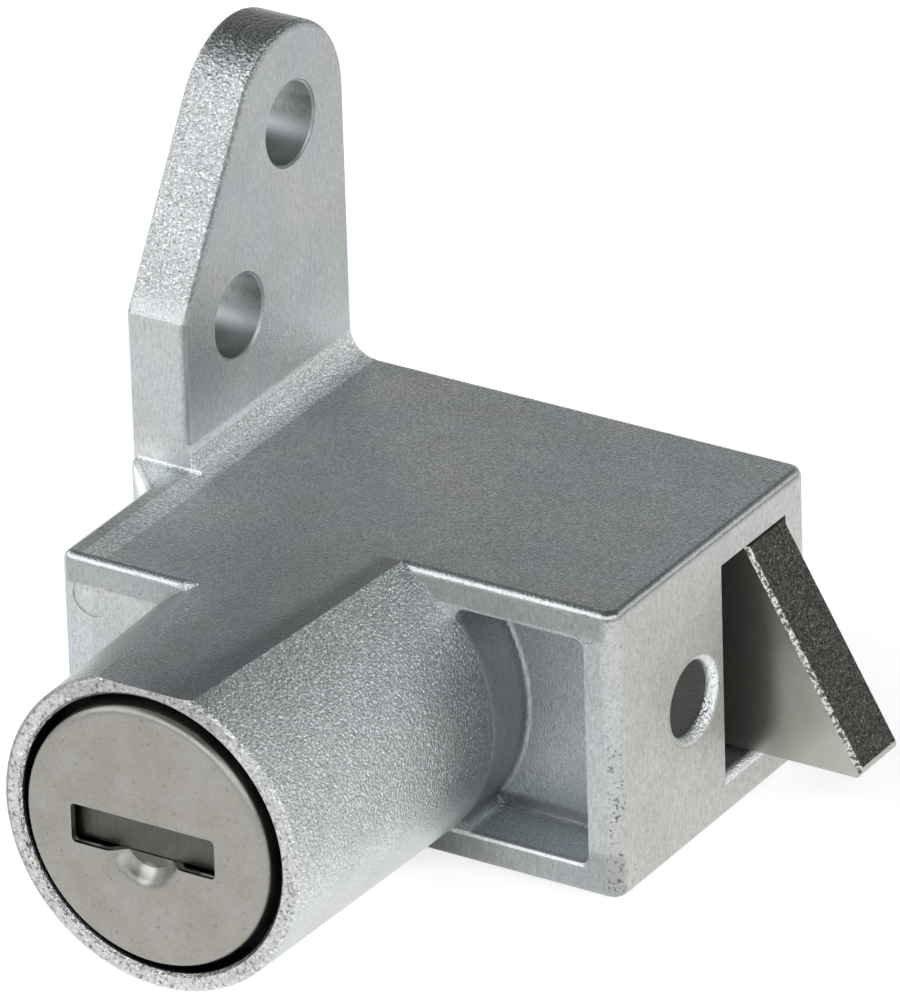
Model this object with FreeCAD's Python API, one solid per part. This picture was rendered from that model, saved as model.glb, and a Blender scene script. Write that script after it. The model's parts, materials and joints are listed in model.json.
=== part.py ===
import FreeCAD, Part
import math
import os

from FreeCAD import Vector

# Battery lock with a turning plug, a spring latch bolt and an upright mounting ear.
# Millimetres, +X towards the bolt's nose, +Y away from the key, +Z up.
# Origin: axis of the ear's lower screw hole, on the ear's outer (mounting) face.

# Mounting ear
ear_thickness = 3.4
ear_hole_r = 2.1
ear_hole_mouth = 0.12
ear_holes_apart_y = 5.05
ear_holes_apart_z = 8.1
ear_front_margin = 4.8
ear_slant_start = 1.55
ear_round_r = 4.9
ear_round_rise = 0.2
ear_edge_round = 0.4
ear_foot_round = 1.4
ear_front_foot_round = 0.25

# Housing body
plug_from_ear_face = 13.5
plug_below_hole = 13.9
top_above_plug = 7.7
body_height = 15.25
body_depth = 17.95
body_right_of_plug = 15.45
shoulder_forward = 6.7
shoulder_inset = 2.4
shoulder_slant_run = 2.4
corner_round = 0.8
shoulder_round = 0.5
edge_round = 0.45
foot_right_of_plug = 3.2

# Barrel
barrel_forward = 16.55
barrel_front_r = 8.12
barrel_rear_r = 8.55
barrel_root = 1.0
barrel_cove = 0.15
rim_round = 0.25
mouth_r = 7.2
mouth_depth = 2.6
mouth_round = 0.15

# Front pocket in the right half of the body
pocket_left_of_right = 7.05
pocket_right_of_plug = 13.75
pocket_top = 6.05
pocket_bottom = 5.95
pocket_depth = 3.2
pocket_corner = 0.55
pocket_floor_round = 0.25
pocket_ring_round = 0.3

# Ejector marks: right of the plug axis, above it, radius
mark_depth = 0.05
shoulder_mark = (-9.4, 5.65, 1.05)
front_mark = (13.9, 6.7, 0.75)
pocket_mark = (9.0, -4.4, 0.8)

# Plug
plug_r = 6.05
plug_running_gap = 0.05
plug_head_r = 6.2
plug_flange_r = 6.7
plug_flange_thick = 0.9
plug_end_behind_face = 9.6

# Face cap and key slot
cap_proud = 0.35
cap_thick = 0.35
cap_r = 6.71
cap_edge_round = 0.42
slot_width = 7.95
slot_height = 2.05
slot_corner = 0.25
slot_offset_x = -0.18
slot_offset_z = -0.2
keyway_margin = 0.12
keyway_end_behind_face = 3.4
dimple_r = 2.4
dimple_blend = 0.6
dimple_depth = 1.1
dimple_floor = 0.65
dimple_centre_above_edge = 0.75
dimple_wall = 0.35

# Dust shutter
shutter_thick = 0.35
shutter_behind_cap = 0.38
shutter_side = 0.25
shutter_lift = 0.02
shutter_hinge_above_slot = 1.12
shutter_swing_room = 0.35
shutter_pin_r = 0.35
shutter_pin_gap = 0.05
shutter_knuckle_wall = 0.22
shutter_pin_seat = 0.9
shutter_spring_wire = 0.16
shutter_spring_length = 1.4
shutter_spring_turns = 4
shutter_spring_gap = 0.15
shutter_leg = 1.6
shutter_leg_rise_deg = 30

# Wafers
wafer_count = 7
wafer_pitch = 2.1
wafer_first_behind_rim = 5.55
wafer_thick = 1.05
wafer_slot_gap = 0.075
wafer_height = 5.8
wafer_travel = 0.65
wafer_reach_gap = 0.05
wafer_window_width = 7.2
wafer_window_height = 2.4
wafer_bitting = (0.2, -0.15, 0.1, 0.3, -0.2, 0.25, 0.0)
wafer_arm_x = 1.5
wafer_arm_thick = 1.1
wafer_arm_height = 1.6
wafer_spring_start = 3.3
wafer_spring_r = 0.5
wafer_spring_wire = 0.18
wafer_spring_turns = 6
groove_gap = 0.1

# Retaining pin
pin_behind_face = 7.1
pin_r = 1.9
pin_tip_r = 1.25
pin_tip_gap = 0.05
pin_step_from_plug = 8.0
pin_recess = 0.52
pin_mouth_round = 0.5
pin_groove_depth = 0.75
pin_groove_gap = 0.1
pin_groove_play_deg = 2.0

# Turning and the drive pin
turn_deg = 90
drive_r = 4.25
drive_pin_r = 0.9
drive_pin_seat = 3.0

# Bolt channel and window
channel_front_behind_face = 9.8
channel_depth = 6.05
channel_top = 5.95
channel_bottom = 5.45
channel_left_of_plug = 9.6
window_sill_round = 0.4

# Latch bolt
bolt_thick = 3.45
bolt_side_gap = 0.1
bolt_top_gap = 0.2
bolt_bottom_gap = 0.3
bolt_nose = 6.0
bolt_nose_blunt = 0.5
bolt_nose_round = 0.3
bolt_front_chamfer = 0.2
bolt_back_chamfer = 0.08
bolt_tail_left_of_plug = 3.2
bolt_lug_length = 2.2
bolt_lug_height = 3.5
bolt_drive_gap = 0.2
bolt_front_gap = 0.15
bolt_pin_gap = 0.25
bolt_rail_height = 1.2
bolt_rail_right_of_plug = 8.0

# Bolt spring
spring_r = 1.6
spring_wire = 0.4
spring_turns = 9
spring_notch_right_of_plug = 2.0
spring_notch_gap = 0.25
spring_above_plug = 2.3
spring_end_gap = 0.05
horn_r = 0.85
horn_length = 4.5

# Places that follow from the sizes
plug_x = plug_from_ear_face
plug_z = -plug_below_hole
top_z = plug_z + top_above_plug
under_z = top_z - body_height
foot_z = plug_z - barrel_rear_r
right_x = plug_x + body_right_of_plug
back_y = ear_holes_apart_y + ear_round_r
face_y = back_y - body_depth
shoulder_y = face_y - shoulder_forward
rim_y = face_y - barrel_forward
ear_front_y = -ear_front_margin
bore_r = plug_r + plug_running_gap
mouth_floor_y = rim_y + mouth_depth
cap_face_y = rim_y - cap_proud
cap_back_y = cap_face_y + cap_thick
flange_back_y = mouth_floor_y - plug_running_gap
flange_front_y = flange_back_y - plug_flange_thick
plug_end_y = face_y + plug_end_behind_face
slot_x = plug_x + slot_offset_x
slot_z = plug_z + slot_offset_z
keyway_half_x = slot_width / 2 + keyway_margin
keyway_half_z = slot_height / 2 + keyway_margin
groove_r = plug_r + wafer_travel + groove_gap
channel_front_y = face_y + channel_front_behind_face
channel_back_y = channel_front_y + channel_depth
channel_top_z = plug_z + channel_top
channel_bottom_z = plug_z - channel_bottom
channel_left_x = plug_x - channel_left_of_plug
bolt_back_y = channel_back_y - bolt_side_gap
bolt_front_y = bolt_back_y - bolt_thick
pin_y = face_y + pin_behind_face
pin_groove_floor_r = plug_r - pin_groove_depth
drive_x = plug_x + drive_r * math.sin(math.radians(turn_deg / 2))
drive_z = plug_z - drive_r * math.cos(math.radians(turn_deg / 2))
shutter_front_y = cap_back_y + shutter_behind_cap
shutter_knuckle_r = shutter_pin_r + shutter_pin_gap + shutter_knuckle_wall
hinge_y = shutter_front_y + shutter_thick
hinge_z = slot_z + slot_height / 2 + shutter_hinge_above_slot
shutter_roof_z = hinge_z + shutter_knuckle_r + shutter_swing_room / 2
shutter_coil_x = slot_x + slot_width / 2 + shutter_side - shutter_spring_length - shutter_spring_gap


def box(x0, x1, y0, y1, z0, z1):
    return Part.makeBox(x1 - x0, y1 - y0, z1 - z0, Vector(x0, y0, z0))


def along_x(radius, x0, x1, y, z):
    return Part.makeCylinder(radius, x1 - x0, Vector(x0, y, z), Vector(1, 0, 0))


def along_y(radius, y0, y1, x=plug_x, z=plug_z):
    return Part.makeCylinder(radius, y1 - y0, Vector(x, y0, z), Vector(0, 1, 0))


def rounded(shape, radius, wanted):
    """The shape with the edges picked by their middle point rounded."""
    edges = [e for e in shape.Edges if wanted(e.valueAt((e.FirstParameter + e.LastParameter) / 2))]
    return shape.makeFillet(radius, edges)


def near(a, b):
    return abs(a - b) < 1e-4


def rounded_outline(points, radii):
    """A closed flat outline through the points, with each corner rounded to its own radius."""
    edges = []
    ends = []
    for i, corner in enumerate(points):
        before = (points[i - 1] - corner).normalize()
        after = (points[(i + 1) % len(points)] - corner).normalize()
        half = before.getAngle(after) / 2
        reach = radii[i] / math.tan(half)
        middle = (before + after).normalize() * (radii[i] / math.sin(half) - radii[i])
        ends.append((corner + before * reach, corner + middle, corner + after * reach))
    for i, (start, middle, stop) in enumerate(ends):
        if radii[i] > 0:
            edges.append(Part.Arc(start, middle, stop).toShape())
        next_start = ends[(i + 1) % len(ends)][0]
        if not near(stop.distanceToPoint(next_start), 0):
            edges.append(Part.LineSegment(stop, next_start).toShape())
    return Part.Wire(edges)


def helix(radius, wire, length, turns):
    """A coil of round wire along +Z, its wire between 0 and the given length."""
    rise = length - wire
    path = Part.makeHelix(rise / turns, rise, radius - wire / 2)
    section = Part.Wire(Part.makeCircle(wire / 2, Vector(radius - wire / 2, 0, 0), Vector(0, 1, 0)))
    coil = Part.Wire(path.Edges).makePipeShell([section], True, True)
    coil.translate(Vector(0, 0, wire / 2))
    return coil


def coil_along_x(radius, wire, x0, x1, y, z, turns):
    coil = helix(radius, wire, x1 - x0, turns)
    coil.rotate(Vector(0, 0, 0), Vector(0, 1, 0), 90)
    coil.translate(Vector(x0, y, z))
    return coil


# Housing: one casting
def right_prism(z0, z1):
    """The body right of the plug axis, seen from above."""
    points = [
        Vector(plug_x, face_y, z0),
        Vector(right_x, face_y, z0),
        Vector(right_x, back_y, z0),
        Vector(plug_x, back_y, z0),
    ]
    radii = [0, corner_round, corner_round, 0]
    return Part.Face(rounded_outline(points, radii)).extrude(Vector(0, 0, z1 - z0))


def left_prism(z0, z1):
    """The shoulder and the ear's root left of the plug axis, with a slanted face between them."""
    points = [
        Vector(plug_x, back_y, z0),
        Vector(0, back_y, z0),
        Vector(0, ear_front_y, z0),
        Vector(shoulder_inset, ear_front_y - shoulder_slant_run, z0),
        Vector(shoulder_inset, shoulder_y, z0),
        Vector(plug_x, shoulder_y, z0),
    ]
    radii = [0, ear_edge_round, ear_edge_round, 0, shoulder_round, 0]
    return Part.Face(rounded_outline(points, radii)).extrude(Vector(0, 0, z1 - z0))


def outer_edge(p):
    """Top and bottom edges of a half of the body, apart from those where the halves meet."""
    return any(near(p.z, z) for z in (top_z, under_z, foot_z)) and not near(p.x, plug_x)


def housing_body():
    """Both halves, with the left half's underside level with the barrel's lowest line."""
    right = rounded(right_prism(under_z, top_z), edge_round, outer_edge)
    left = rounded(left_prism(foot_z, top_z), edge_round, outer_edge)
    foot_x = plug_x + foot_right_of_plug
    foot = box(plug_x, foot_x, face_y, back_y, foot_z, plug_z)
    foot = rounded(foot, edge_round, lambda p: near(p.z, foot_z) and (near(p.x, foot_x) or near(p.y, back_y)))
    return right.multiFuse([left, foot])


def barrel():
    """A cone cut flat on top. Its upper half runs on into the body, with a fine cove at the body's face."""
    cone = Part.makeCone(
        barrel_front_r, barrel_rear_r, barrel_forward, Vector(plug_x, rim_y, plug_z), Vector(0, 1, 0)
    )
    cone = rounded(cone, rim_round, lambda p: near(p.y, rim_y))
    root = along_y(barrel_rear_r, face_y, face_y + barrel_root)
    ring = along_y(barrel_rear_r + barrel_cove, face_y - barrel_cove, face_y + barrel_root)
    centre = Vector(plug_x, face_y - barrel_cove, plug_z)
    hollow = Part.makeTorus(barrel_rear_r + barrel_cove, barrel_cove, centre, Vector(0, 1, 0))
    ring = ring.cut(hollow).common(
        box(plug_x, right_x, face_y - barrel_cove, face_y, plug_z + pocket_top, top_z)
    )
    root = root.common(box(0, right_x, face_y, back_y, plug_z, top_z))
    return cone.common(box(0, right_x, rim_y, face_y, foot_z, top_z)).multiFuse([root, ring])


def ear():
    """A plate with a vertical front edge, then a slant up to a round top."""
    low = top_z - 2 * edge_round
    round_y = ear_holes_apart_y
    round_z = ear_holes_apart_z + ear_round_rise
    start_y = round_y - ear_front_y
    start_z = round_z - ear_slant_start
    reach = math.hypot(start_y, start_z)
    tilt = math.atan2(start_z, start_y) + math.asin(ear_round_r / reach)
    run = math.sqrt(reach**2 - ear_round_r**2)
    slant_top = Vector(0, ear_front_y + run * math.cos(tilt), ear_slant_start + run * math.sin(tilt))
    points = [
        Vector(0, ear_front_y, low),
        Vector(0, ear_front_y, ear_slant_start),
        slant_top,
    ]
    edges = [
        Part.LineSegment(points[0], points[1]).toShape(),
        Part.LineSegment(points[1], points[2]).toShape(),
        Part.Arc(slant_top, Vector(0, round_y, round_z + ear_round_r), Vector(0, back_y, round_z)).toShape(),
        Part.LineSegment(Vector(0, back_y, round_z), Vector(0, back_y, low)).toShape(),
        Part.LineSegment(Vector(0, back_y, low), points[0]).toShape(),
    ]
    plate = Part.Face(Part.Wire(edges)).extrude(Vector(ear_thickness, 0, 0))
    side = (0, ear_thickness)
    return rounded(
        plate,
        ear_edge_round,
        lambda p: any(near(p.x, x) for x in side) and not near(p.z, low),
    )


def cove(radius, wall, along):
    """Fills the corner between a wall at 0, whose outward unit vector is wall, and the top face."""
    up = Vector(0, 0, 1)
    back = wall * -ear_edge_round
    down = up * -edge_round
    bulge = (wall + up) * (radius * (1 - math.sqrt(0.5)))
    wire = Part.Wire(
        [
            Part.LineSegment(back + down, wall * radius + down).toShape(),
            Part.LineSegment(wall * radius + down, wall * radius).toShape(),
            Part.Arc(wall * radius, bulge, up * radius).toShape(),
            Part.LineSegment(up * radius, back + up * radius).toShape(),
            Part.LineSegment(back + up * radius, back + down).toShape(),
        ]
    )
    return Part.Face(wire).extrude(along)


def ear_foot():
    """The coves round the ear's root: a wide one along its inner face, a fine one at its front."""
    inner = cove(ear_foot_round, Vector(1, 0, 0), Vector(0, back_y - ear_front_y, 0))
    inner.translate(Vector(ear_thickness, ear_front_y, top_z))
    inner = rounded(inner, ear_edge_round, lambda p: near(p.y, back_y) and inside_cove(p))
    front_end = ear_thickness + ear_foot_round / 2
    front = cove(ear_front_foot_round, Vector(0, -1, 0), Vector(front_end - ear_edge_round, 0, 0))
    front.translate(Vector(ear_edge_round, ear_front_y, top_z))
    low = top_z - edge_round
    high = top_z + ear_foot_round
    return inner.fuse(front).common(left_prism(low, high))


def inside_cove(p):
    """True on the round face of the ear's inner cove, away from its ends."""
    return p.x > ear_thickness + 1e-3 and top_z + 1e-3 < p.z < top_z + ear_foot_round - 1e-3


def pocket_cut():
    """The pocket's space: a rounded box with the barrel and its foot ring left standing in it."""
    right = plug_x + pocket_right_of_plug
    left = right - pocket_left_of_right
    floor_y = face_y + pocket_depth
    points = [
        Vector(left, face_y - 1, plug_z - pocket_bottom),
        Vector(right, face_y - 1, plug_z - pocket_bottom),
        Vector(right, face_y - 1, plug_z + pocket_top),
        Vector(left, face_y - 1, plug_z + pocket_top),
    ]
    outline = rounded_outline(points, [pocket_corner] * 4)
    space = Part.Face(outline).extrude(Vector(0, pocket_depth + 1, 0))
    space = rounded(space, pocket_floor_round, lambda p: near(p.y, floor_y))
    ring = along_y(barrel_rear_r + pocket_ring_round, floor_y - pocket_ring_round, floor_y + 1)
    centre = Vector(plug_x, floor_y - pocket_ring_round, plug_z)
    hollow = Part.makeTorus(barrel_rear_r + pocket_ring_round, pocket_ring_round, centre, Vector(0, 1, 0))
    core = along_y(barrel_rear_r, face_y - 2, floor_y + 1).fuse(ring.cut(hollow))
    return space.cut(core)


def ejector_mark(mark, y):
    """A shallow round recess in a face that looks towards the key."""
    right_of_plug, above_plug, radius = mark
    return along_y(radius, y - 1, y + mark_depth, plug_x + right_of_plug, plug_z + above_plug)


def wafer_grooves():
    """Room beside the bore for the wafers' ends, at both sides while the key is out."""
    start = mouth_floor_y
    stop = rim_y + wafer_first_behind_rim + (wafer_count - 1) * wafer_pitch + wafer_thick
    half = wafer_height / 2 + groove_gap
    ring = along_y(groove_r, start, stop)
    return ring.common(box(plug_x - groove_r, plug_x + groove_r, start, stop, plug_z - half, plug_z + half))


def ear_hole(y, z):
    """A screw hole with a broken edge on the side of the screw's head."""
    hole = along_x(ear_hole_r, -1, ear_thickness + 1, y, z)
    mouth_x = ear_thickness - ear_hole_mouth
    mouth = Part.makeCone(
        ear_hole_r, ear_hole_r + ear_hole_mouth, ear_hole_mouth, Vector(mouth_x, y, z), Vector(1, 0, 0)
    )
    return hole.fuse(mouth)


def pin_hole():
    """The stepped hole of the retaining pin, with a rounded mouth in the right end face."""
    step_x = plug_x + pin_step_from_plug
    wide = along_x(pin_r, step_x, right_x + 1, pin_y, plug_z)
    narrow = along_x(pin_tip_r + pin_tip_gap, plug_x, step_x + 1, pin_y, plug_z)
    mouth = along_x(pin_r + pin_mouth_round, right_x - pin_mouth_round, right_x + 1, pin_y, plug_z)
    lip = Part.makeTorus(
        pin_r + pin_mouth_round,
        pin_mouth_round,
        Vector(right_x - pin_mouth_round, pin_y, plug_z),
        Vector(1, 0, 0),
    )
    return wide.multiFuse([narrow, mouth.cut(lip)])


def channel():
    """The bolt's space, with a rounded sill under the window."""
    space = box(
        channel_left_x, right_x + 1, channel_front_y, channel_back_y, channel_bottom_z, channel_top_z
    )
    r = window_sill_round
    low = channel_bottom_z - r
    sill = box(right_x - r, right_x + 1, channel_front_y, channel_back_y, low, channel_bottom_z)
    lip = along_y(r, channel_front_y, channel_back_y, right_x - r, low)
    return space.fuse(sill.cut(lip))


def plug_bore():
    bore = along_y(bore_r, rim_y - 1, channel_front_y + 1)
    mouth = along_y(mouth_r, rim_y - 1, mouth_floor_y)
    flare = Part.makeCone(
        mouth_r + mouth_round, mouth_r, mouth_round, Vector(plug_x, rim_y, plug_z), Vector(0, 1, 0)
    )
    return bore.multiFuse([mouth, flare])


def housing():
    solid = housing_body().multiFuse([barrel(), ear(), ear_foot()])
    cuts = [
        plug_bore(),
        wafer_grooves(),
        channel(),
        pin_hole(),
        pocket_cut(),
        ear_hole(0, 0),
        ear_hole(ear_holes_apart_y, ear_holes_apart_z),
        ejector_mark(shoulder_mark, shoulder_y),
        ejector_mark(front_mark, face_y),
        ejector_mark(pocket_mark, face_y + pocket_depth),
    ]
    for cut in cuts:
        solid = solid.cut(cut)
    return solid.removeSplitter()


# Plug: turns in the bore
def wafer_y(i):
    return rim_y + wafer_first_behind_rim + i * wafer_pitch


def wafer_side(i):
    """Wafers take turns at the two sides of the key."""
    return 1 if i % 2 == 0 else -1


def to_side(shape, side):
    """Mirror to the left of the plug axis for side -1."""
    if side > 0:
        return shape
    return shape.mirror(Vector(plug_x, 0, 0), Vector(1, 0, 0))


def wafer_slot(i):
    half_x = plug_r + 1
    half_y = wafer_thick / 2 + wafer_slot_gap
    half_z = wafer_height / 2 + wafer_slot_gap
    y0 = wafer_y(i) - half_y
    y1 = wafer_y(i) + half_y
    main = box(plug_x - half_x, plug_x + half_x, y0, y1, plug_z - half_z, plug_z + half_z)
    arm_top = plug_z + wafer_height / 2 + wafer_arm_height + wafer_slot_gap
    arm_right = plug_x + wafer_arm_x + wafer_arm_thick + wafer_travel + wafer_slot_gap
    room = box(plug_x - wafer_spring_start, arm_right, y0, y1, plug_z, arm_top)
    return main.fuse(to_side(room, wafer_side(i)))


def pin_groove():
    """A part ring round the plug: the retaining pin's tip stops the turn at both its ends."""
    tip = pin_tip_r + pin_tip_gap
    spare = math.degrees(math.asin(tip / pin_groove_floor_r)) + pin_groove_play_deg
    y0 = pin_y - tip - pin_groove_gap
    width = 2 * (tip + pin_groove_gap)
    origin = Vector(0, 0, 0)
    sector = Part.makeCylinder(plug_r + 1, width, origin, Vector(0, 0, 1), turn_deg + 2 * spare)
    sector.rotate(origin, Vector(1, 0, 0), -90)
    sector.rotate(origin, Vector(0, 1, 0), -(turn_deg + spare))
    sector.translate(Vector(plug_x, y0, plug_z))
    return sector.cut(along_y(pin_groove_floor_r, y0, y0 + width))


def shutter_room():
    swing = hinge_z - (slot_z - slot_height / 2)
    half_x = slot_width / 2 + 2 * shutter_side
    return box(
        slot_x - half_x, slot_x + half_x,
        cap_back_y - 1, hinge_y + swing + shutter_swing_room,
        slot_z - keyway_half_z, shutter_roof_z,
    )


def dimple(offset):
    """The dimple's space below the key slot: a flat-floored bowl with a blended rim, grown by the offset."""
    bowl_y = cap_face_y - (dimple_r - dimple_depth)
    blend_y = cap_face_y + dimple_blend
    rise = blend_y - bowl_y
    reach = math.sqrt((dimple_r + dimple_blend) ** 2 - rise**2)
    angle = math.atan2(rise, reach)
    blend_r = dimple_blend - offset
    bowl_r = dimple_r + offset

    def on_bowl(a):
        return Vector(bowl_r * math.cos(a), bowl_y + bowl_r * math.sin(a), 0)

    def on_blend(a):
        return Vector(reach - blend_r * math.cos(a), blend_y - blend_r * math.sin(a), 0)

    quarter = math.pi / 2
    out = Vector(0, cap_face_y - 1, 0)
    rim = Vector(reach, cap_face_y - 1, 0)
    outline = Part.Wire(
        [
            Part.LineSegment(out, rim).toShape(),
            Part.LineSegment(rim, on_blend(quarter)).toShape(),
            Part.Arc(on_blend(quarter), on_blend((quarter + angle) / 2), on_blend(angle)).toShape(),
            Part.Arc(on_bowl(angle), on_bowl((quarter + angle) / 2), on_bowl(quarter)).toShape(),
            Part.LineSegment(on_bowl(quarter), out).toShape(),
        ]
    )
    bowl = Part.Face(outline).revolve(Vector(0, 0, 0), Vector(0, 1, 0), 360)
    edge_z = slot_z - slot_height / 2
    bowl.translate(Vector(slot_x, 0, edge_z + dimple_centre_above_edge))
    wide = reach + 1
    floor_y = cap_face_y + dimple_floor + offset
    return bowl.common(box(slot_x - wide, slot_x + wide, rim.y, floor_y, edge_z - wide, slot_z))


def plug_core():
    head = along_y(plug_head_r - plug_running_gap, cap_back_y, flange_front_y)
    flange = along_y(plug_flange_r, flange_front_y, flange_back_y)
    core = along_y(plug_r, flange_back_y, plug_end_y)
    solid = core.multiFuse([flange, head])
    keyway = box(
        slot_x - keyway_half_x, slot_x + keyway_half_x,
        cap_back_y - 1, face_y + keyway_end_behind_face,
        slot_z - keyway_half_z, slot_z + keyway_half_z,
    )
    pin_bore = along_x(
        shutter_pin_r, slot_x - shutter_pin_end(), slot_x + shutter_pin_end(), hinge_y, hinge_z
    )
    drive_bore = along_y(drive_pin_r, plug_end_y - drive_pin_seat, plug_end_y + 1, drive_x, drive_z)
    dimple_room = dimple(dimple_wall + plug_running_gap)
    cuts = [keyway, shutter_room(), dimple_room, pin_bore, drive_bore, pin_groove()]
    cuts += [wafer_slot(i) for i in range(wafer_count)]
    for cut in cuts:
        solid = solid.cut(cut)
    return solid.removeSplitter()


def key_slot(y0, y1):
    """The key slot as a rounded bar through the face cap."""
    half_x = slot_width / 2
    half_z = slot_height / 2
    points = [
        Vector(slot_x - half_x, y0, slot_z - half_z),
        Vector(slot_x + half_x, y0, slot_z - half_z),
        Vector(slot_x + half_x, y0, slot_z + half_z),
        Vector(slot_x - half_x, y0, slot_z + half_z),
    ]
    return Part.Face(rounded_outline(points, [slot_corner] * 4)).extrude(Vector(0, y1 - y0, 0))


def face_cap():
    """A pressed cup over the plug's head, with the key slot and a dimple that guides the key."""
    cup = rounded(along_y(cap_r, cap_face_y, flange_front_y), cap_edge_round, lambda p: near(p.y, cap_face_y))
    cup = cup.cut(along_y(plug_head_r, cap_back_y, flange_front_y + 1))
    dent = dimple(dimple_wall).common(along_y(plug_head_r, cap_face_y, flange_front_y))
    cup = cup.fuse(dent).cut(dimple(0))
    return cup.cut(key_slot(cap_face_y - 1, flange_front_y + 1)).removeSplitter()


# Dust shutter
def shutter_pin_end():
    return slot_width / 2 + shutter_side + shutter_pin_seat


def dust_shutter():
    """A flap with a rolled knuckle, which leaves its right end free for the spring's coil."""
    left = slot_x - slot_width / 2 - shutter_side
    right = slot_x + slot_width / 2 + shutter_side
    low = slot_z - slot_height / 2 + shutter_lift
    plate = box(left, right, shutter_front_y, shutter_front_y + shutter_thick, low, hinge_z)
    knuckle_end = shutter_coil_x - shutter_spring_gap
    knuckle = along_x(shutter_knuckle_r, left, knuckle_end, hinge_y, hinge_z)
    room = along_x(shutter_knuckle_r + shutter_spring_wire, knuckle_end, right + 1, hinge_y, hinge_z)
    pin_room = along_x(shutter_pin_r + shutter_pin_gap, left - 1, right + 1, hinge_y, hinge_z)
    return plate.cut(room).fuse(knuckle).cut(pin_room).removeSplitter()


def shutter_pin():
    return along_x(shutter_pin_r, slot_x - shutter_pin_end(), slot_x + shutter_pin_end(), hinge_y, hinge_z)


def shutter_spring():
    """A torsion coil round the pin, with one leg down behind the flap and one up to the room's roof."""
    wire_r = shutter_spring_wire / 2
    ring_r = shutter_pin_r + shutter_pin_gap + wire_r
    rise = math.radians(shutter_leg_rise_deg)
    lean = math.acos((wire_r + shutter_pin_gap) / math.hypot(ring_r, shutter_leg))
    lean -= math.atan2(shutter_leg, ring_r)
    turned = 2 * math.pi * shutter_spring_turns + rise - math.pi / 2 + lean
    length = shutter_spring_length - shutter_spring_wire
    slope = length / (turned * ring_r)
    roof = shutter_roof_z - hinge_z - wire_r - shutter_pin_gap
    roof_leg = (roof + ring_r * math.cos(rise)) / math.sin(rise)
    coil = Part.makeHelix(2 * math.pi * slope * ring_r, length, ring_r)
    start = Vector(ring_r, 0, 0)
    stop = Vector(ring_r * math.cos(turned), ring_r * math.sin(turned), length)
    start_leg = start - Vector(0, 1, slope) * shutter_leg
    stop_leg = stop + Vector(-math.sin(turned), math.cos(turned), slope) * roof_leg
    path = Part.Wire(
        [
            Part.LineSegment(start_leg, start).toShape(),
            *coil.Edges,
            Part.LineSegment(stop, stop_leg).toShape(),
        ]
    )
    section = Part.Wire(Part.makeCircle(wire_r, start_leg, Vector(0, 1, slope)))
    spring = path.makePipeShell([section], True, False)
    spring.rotate(Vector(0, 0, 0), Vector(1, 1, 1), 120)
    spring.rotate(Vector(0, 0, 0), Vector(1, 0, 0), -math.degrees(lean))
    spring.translate(Vector(shutter_coil_x + wire_r, hinge_y, hinge_z))
    return spring


# Wafers and their springs
def wafer(i):
    y0 = wafer_y(i) - wafer_thick / 2
    y1 = wafer_y(i) + wafer_thick / 2
    half_z = wafer_height / 2
    plate = box(plug_x - plug_r, plug_x + plug_r, y0, y1, plug_z - half_z, plug_z + half_z)
    plate = plate.common(along_y(plug_r - wafer_reach_gap, y0, y1))
    arm_left = plug_x + wafer_arm_x
    arm = box(arm_left, arm_left + wafer_arm_thick, y0, y1, plug_z, plug_z + half_z + wafer_arm_height)
    plate = plate.fuse(to_side(arm, wafer_side(i)))
    middle = slot_x + wafer_bitting[i % len(wafer_bitting)]
    window = box(
        middle - wafer_window_width / 2, middle + wafer_window_width / 2,
        y0 - 1, y1 + 1,
        slot_z - wafer_window_height / 2, slot_z + wafer_window_height / 2,
    )
    return plate.cut(window).removeSplitter()


def wafer_spring(i):
    z = plug_z + wafer_height / 2 + wafer_arm_height / 2 + wafer_slot_gap
    coil = coil_along_x(
        wafer_spring_r,
        wafer_spring_wire,
        plug_x - wafer_spring_start + spring_end_gap,
        plug_x + wafer_arm_x - spring_end_gap,
        wafer_y(i),
        z,
        wafer_spring_turns,
    )
    return to_side(coil, wafer_side(i))


# Pins
def retaining_pin():
    """Pressed in from the right end, with a thinner tip in the plug's groove."""
    step_x = plug_x + pin_step_from_plug
    tip_x = plug_x + pin_groove_floor_r + pin_groove_gap
    shank = along_x(pin_r, step_x, right_x - pin_recess, pin_y, plug_z)
    tip = along_x(pin_tip_r, tip_x, step_x, pin_y, plug_z)
    return shank.fuse(tip).removeSplitter()


def drive_pin():
    return along_y(drive_pin_r, plug_end_y - drive_pin_seat, bolt_front_y - bolt_pin_gap, drive_x, drive_z)


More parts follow.
